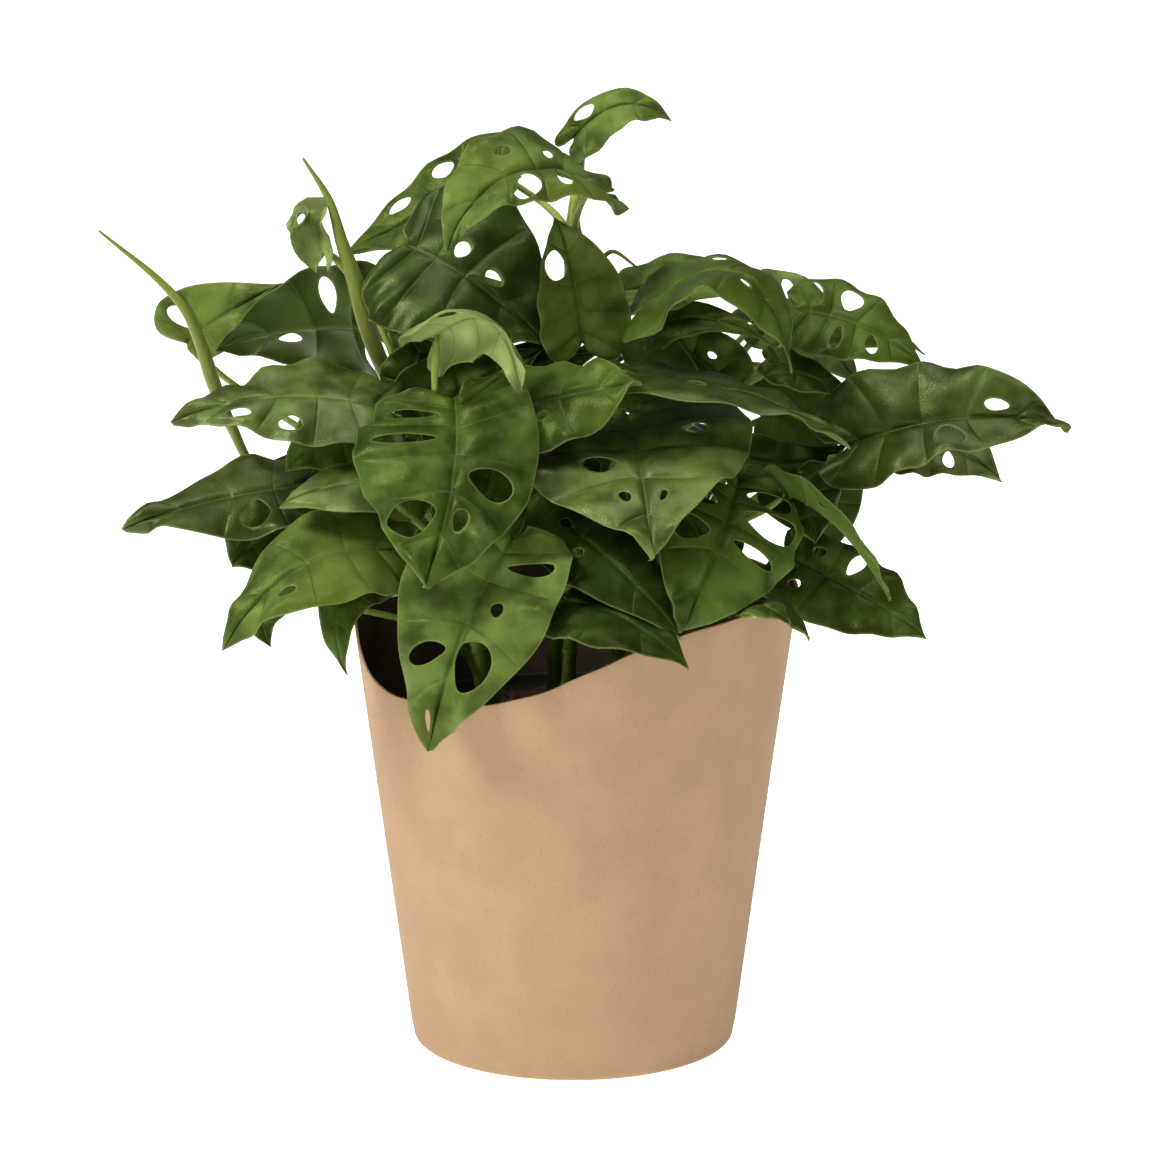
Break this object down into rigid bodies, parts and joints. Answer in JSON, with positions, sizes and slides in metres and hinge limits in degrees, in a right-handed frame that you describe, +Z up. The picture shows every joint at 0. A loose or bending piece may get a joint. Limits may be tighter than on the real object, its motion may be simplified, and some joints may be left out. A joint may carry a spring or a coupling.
{
  "type": "potted monstera adansonii",
  "caption": "Small bushy houseplant with holed, heart-shaped leaves on thin arching stems, in a nursery pot inside a round flared paper sleeve with a wavy top edge.",
  "frame": {"origin": "centre of the sleeve's underside, on the surface it stands on", "axes": "+Z up, -Y towards the front, where the sleeve's rim dips at the left, +X to the right"},
  "size_m": [0.3044, 0.1826, 0.3052],
  "materials": {
    "kraft_paper": "matt natural kraft paper",
    "pot_plastic": "matt black",
    "potting_soil": "loose dark peat with pale specks",
    "stem": "smooth satin green",
    "leaf": "satin green with paler veins and margin"
  },
  "bodies": {
    "root": {"sleeve": "kraft_paper", "nursery_pot": "pot_plastic", "soil": "potting_soil", "vine_left": "stem", "vine_front_left": "stem", "vine_front": "stem", "vine_right": "stem", "vine_back": "stem", "vine_centre": "stem", "leaf_light_heart": "leaf", "leaf_dark_underside": "leaf", "leaf_new_leaf": "leaf", "leaf_behind_crown": "leaf", "leaf_bluish_top": "leaf", "leaf_crown_bright": "leaf", "leaf_topmost": "leaf", "leaf_upright_centre": "leaf", "leaf_arch_right": "leaf", "leaf_behind_arch": "leaf", "leaf_dark_arch": "leaf", "leaf_arch_below": "leaf", "leaf_pale_behind": "leaf", "leaf_dark_middle": "leaf", "leaf_big_right": "leaf", "leaf_below_big_right": "leaf", "leaf_long_edge": "leaf", "leaf_dark_round": "leaf", "leaf_dark_hanging": "leaf", "leaf_thin_arching": "leaf", "leaf_lower_right": "leaf", "leaf_over_right_rim": "leaf", "leaf_front_right_holed": "leaf", "leaf_front_centre_large": "leaf", "leaf_front_left_bright": "leaf", "leaf_front_bottom": "leaf", "leaf_left_middle": "leaf", "leaf_dark_behind_left": "leaf", "leaf_left_low": "leaf", "leaf_big_dark_left": "leaf", "leaf_light_small_left": "leaf", "leaf_lower_left": "leaf", "leaf_hanging_left": "leaf", "leaf_small_dark_tip": "leaf", "leaf_grey_inside_left": "leaf", "leaf_wide_centre": "leaf", "leaf_curled_pale": "leaf", "leaf_grey_inside": "leaf", "leaf_right_back": "leaf", "leaf_over_front_rim": "leaf", "leaf_dark_light_margin": "leaf", "leaf_dark_centre": "leaf", "leaf_narrow_over_rim": "leaf", "leaf_rear_high_left": "leaf", "leaf_rear_high": "leaf", "leaf_rear_high_right": "leaf", "leaf_rear_left": "leaf", "leaf_rear_middle": "leaf", "leaf_rear_right": "leaf", "leaf_rear_low_left": "leaf", "leaf_rear_low": "leaf"}
  },
  "joints": []
}
